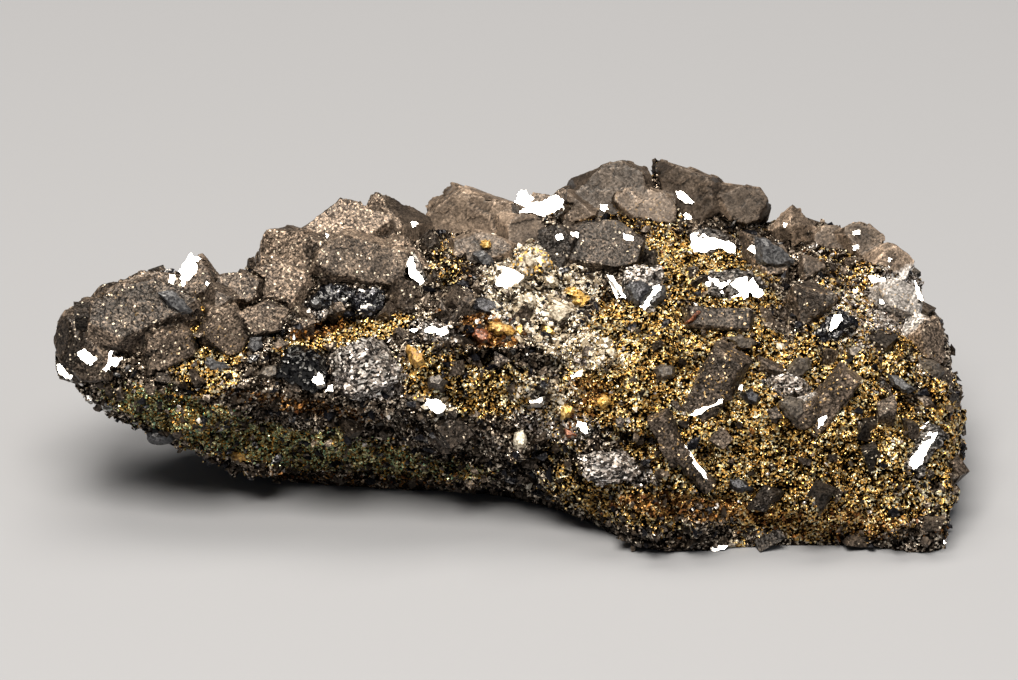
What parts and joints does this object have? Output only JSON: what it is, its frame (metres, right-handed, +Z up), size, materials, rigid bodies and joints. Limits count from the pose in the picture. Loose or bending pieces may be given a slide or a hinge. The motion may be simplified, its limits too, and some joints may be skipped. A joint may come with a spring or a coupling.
{
  "type": "spinel specimen",
  "caption": "Long loose block of granular rock, undercut at its left end, with dark blocky crystals along its crest and bars, plates and silvery lumps set in its face.",
  "frame": {"origin": "centre of the bounding box, at the flat underside", "axes": "+X along the specimen from its pointed left end to its broad right end, -Y out of the crystal-set face, +Z up from the flat underside"},
  "size_m": [0.1142, 0.0638, 0.0356],
  "materials": {
    "granular_rock": "rough, granular, with a golden metallic sparkle",
    "spinel": "dark brown-grey, half metallic, with a fine rough skin",
    "black_spinel": "glossy black",
    "silvery": "silvery, flaky, mirror-bright on its flat faces",
    "pale_mineral": "pale, flaky, with gold between the flakes"
  },
  "bodies": {
    "root": {"matrix": "granular_rock", "left_end_crystals": "spinel", "left_step_crystals": "spinel", "left_crest_crystals": "spinel", "middle_crest_crystals": "spinel", "right_crest_crystals": "spinel", "right_shoulder_crystals": "spinel", "right_end_crystals": "spinel", "centre_crystal": "spinel", "silver_crystal": "silvery", "pale_cluster": "pale_mineral", "black_band_crystals": "black_spinel", "black_lens_crystal": "black_spinel", "silvery_lump": "silvery", "upper_bar_crystal": "spinel", "large_bar_crystal": "spinel", "right_bar_crystal": "spinel", "pale_flake": "silvery", "round_crystal": "spinel", "grey_crystal": "spinel", "lower_blades": "spinel", "lower_silvery_lump": "silvery", "white_bar_crystal": "silvery", "slanted_bar_crystal": "black_spinel", "upper_white_plate": "silvery", "lower_white_plate": "silvery", "left_white_bar": "silvery"}
  },
  "joints": []
}
